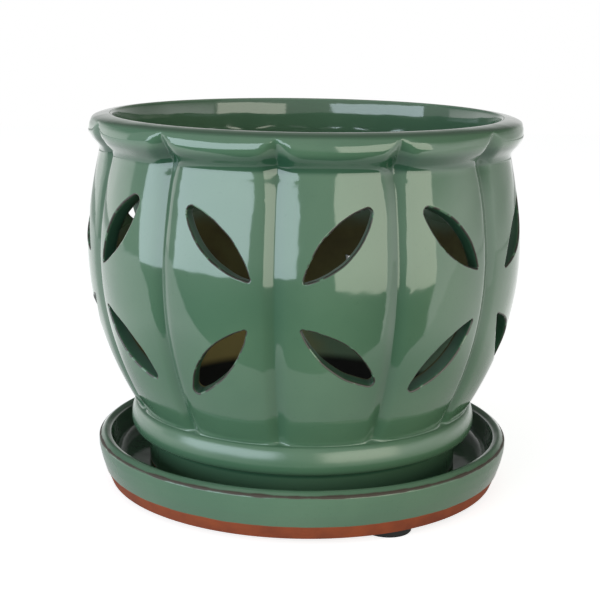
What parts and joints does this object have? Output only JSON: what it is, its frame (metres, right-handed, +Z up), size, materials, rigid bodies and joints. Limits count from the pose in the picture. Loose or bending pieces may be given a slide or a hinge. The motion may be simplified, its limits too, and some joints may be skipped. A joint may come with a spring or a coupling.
{
  "type": "orchid pot with saucer",
  "caption": "Round glazed ceramic orchid pot with vertical lobes, a rolled collar and leaf-shaped air slots, standing in a matching saucer on rubber pads.",
  "frame": {"origin": "on the pot's axis, at the level where the rubber pads meet the table", "axes": "+Z up along the pot's axis; a groove between two lobes, in the middle of a cross of slots, faces -Y"},
  "size_m": [0.1878, 0.1878, 0.164],
  "materials": {
    "green_glaze": "glossy celadon green glaze that breaks to brown at the saucer's rim edge and round the slots; bare terracotta band along the saucer's base",
    "black_rubber": "matt black"
  },
  "bodies": {
    "saucer": {"saucer": "green_glaze", "pad_front_right": "black_rubber", "pad_back": "black_rubber", "pad_left": "black_rubber"},
    "pot": {"pot": "green_glaze"}
  },
  "joints": [
    {"name": "pot_lift", "type": "slide", "parent": "saucer", "child": "pot", "axis": [0, 0, 1], "range_m": [0, 0.06]}
  ]
}
